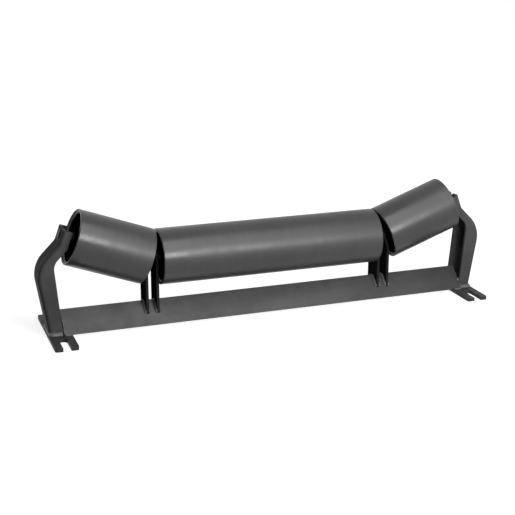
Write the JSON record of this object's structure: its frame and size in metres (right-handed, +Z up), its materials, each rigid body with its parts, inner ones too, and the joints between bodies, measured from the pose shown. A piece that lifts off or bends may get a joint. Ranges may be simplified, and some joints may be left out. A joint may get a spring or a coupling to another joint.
{
  "type": "troughing idler set",
  "caption": "Carrying idler with a long centre roll and short upturned wing rolls on an angle-iron frame, for a troughed conveyor belt.",
  "frame": {"origin": "middle of the underside of the two feet, under the centre roll", "axes": "+Z up, +X along the centre roll across the belt, +Y along the belt's travel"},
  "size_m": [1.0736, 0.2286, 0.2783],
  "materials": {
    "beam_paint": "dark grey satin paint on hot rolled angle",
    "foot_paint": "dark grey satin paint on flat bar",
    "bracket_paint": "dark grey satin paint on pressed plate",
    "post_paint": "dark grey satin paint on flat bar",
    "roll_paint": "dark grey satin paint on steel tube, slightly uneven",
    "shaft_steel": "turned bright steel with a light oil film",
    "housing_steel": "dark grey paint on pressed steel",
    "bearing_steel": "ground bearing steel",
    "cage_nylon": "moulded nylon",
    "seal_plastic": "moulded black plastic",
    "cap_steel": "dark grey paint on pressed steel",
    "spring_steel": "blued spring steel"
  },
  "bodies": {
    "frame": {"cross_beam": "beam_paint", "foot_left": "foot_paint", "foot_right": "foot_paint", "end_bracket_left": "bracket_paint", "end_bracket_right": "bracket_paint", "centre_post_left": "post_paint", "centre_post_right": "post_paint", "wing_post_left": "post_paint", "wing_post_right": "post_paint", "centre_shaft": "shaft_steel", "centre_inner_rings": "bearing_steel", "centre_seal_hubs": "seal_plastic", "centre_circlips": "spring_steel", "left_shaft": "shaft_steel", "left_inner_rings": "bearing_steel", "left_seal_hubs": "seal_plastic", "left_circlips": "spring_steel", "right_shaft": "shaft_steel", "right_inner_rings": "bearing_steel", "right_seal_hubs": "seal_plastic", "right_circlips": "spring_steel"},
    "centre_roll": {"centre_shell": "roll_paint", "centre_housing_left": "housing_steel", "centre_housing_right": "housing_steel", "centre_outer_rings": "bearing_steel", "centre_seal_cups": "seal_plastic", "centre_dust_caps": "cap_steel"},
    "left_roll": {"left_shell": "roll_paint", "left_housing_inner": "housing_steel", "left_housing_outer": "housing_steel", "left_outer_rings": "bearing_steel", "left_seal_cups": "seal_plastic", "left_dust_caps": "cap_steel"},
    "right_roll": {"right_shell": "roll_paint", "right_housing_inner": "housing_steel", "right_housing_outer": "housing_steel", "right_outer_rings": "bearing_steel", "right_seal_cups": "seal_plastic", "right_dust_caps": "cap_steel"},
    "centre_ball_sets": {"centre_balls": "bearing_steel", "centre_cages": "cage_nylon"},
    "left_ball_sets": {"left_balls": "bearing_steel", "left_cages": "cage_nylon"},
    "right_ball_sets": {"right_balls": "bearing_steel", "right_cages": "cage_nylon"}
  },
  "joints": [
    {"name": "centre_roll_spin", "type": "hinge", "parent": "frame", "child": "centre_roll", "pos_m": [0, 0, 0.155], "axis": [1, 0, 0], "continuous": true},
    {"name": "left_roll_spin", "type": "hinge", "parent": "frame", "child": "left_roll", "pos_m": [-0.29092, 0, 0.15883], "axis": [0.9397, 0, -0.342], "continuous": true},
    {"name": "right_roll_spin", "type": "hinge", "parent": "frame", "child": "right_roll", "pos_m": [0.29092, 0, 0.15883], "axis": [0.9397, 0, 0.342], "continuous": true},
    {"name": "centre_ball_orbit", "type": "hinge", "parent": "frame", "child": "centre_ball_sets", "pos_m": [0, 0, 0.155], "axis": [1, 0, 0], "continuous": true},
    {"name": "left_ball_orbit", "type": "hinge", "parent": "frame", "child": "left_ball_sets", "pos_m": [-0.29092, 0, 0.15883], "axis": [0.9397, 0, -0.342], "continuous": true},
    {"name": "right_ball_orbit", "type": "hinge", "parent": "frame", "child": "right_ball_sets", "pos_m": [0.29092, 0, 0.15883], "axis": [0.9397, 0, 0.342], "continuous": true}
  ],
  "couplings": [
    {"joint": "centre_ball_orbit", "follows": "centre_roll_spin", "ratio": 0.61791},
    {"joint": "left_ball_orbit", "follows": "left_roll_spin", "ratio": 0.61791},
    {"joint": "right_ball_orbit", "follows": "right_roll_spin", "ratio": 0.61791}
  ]
}
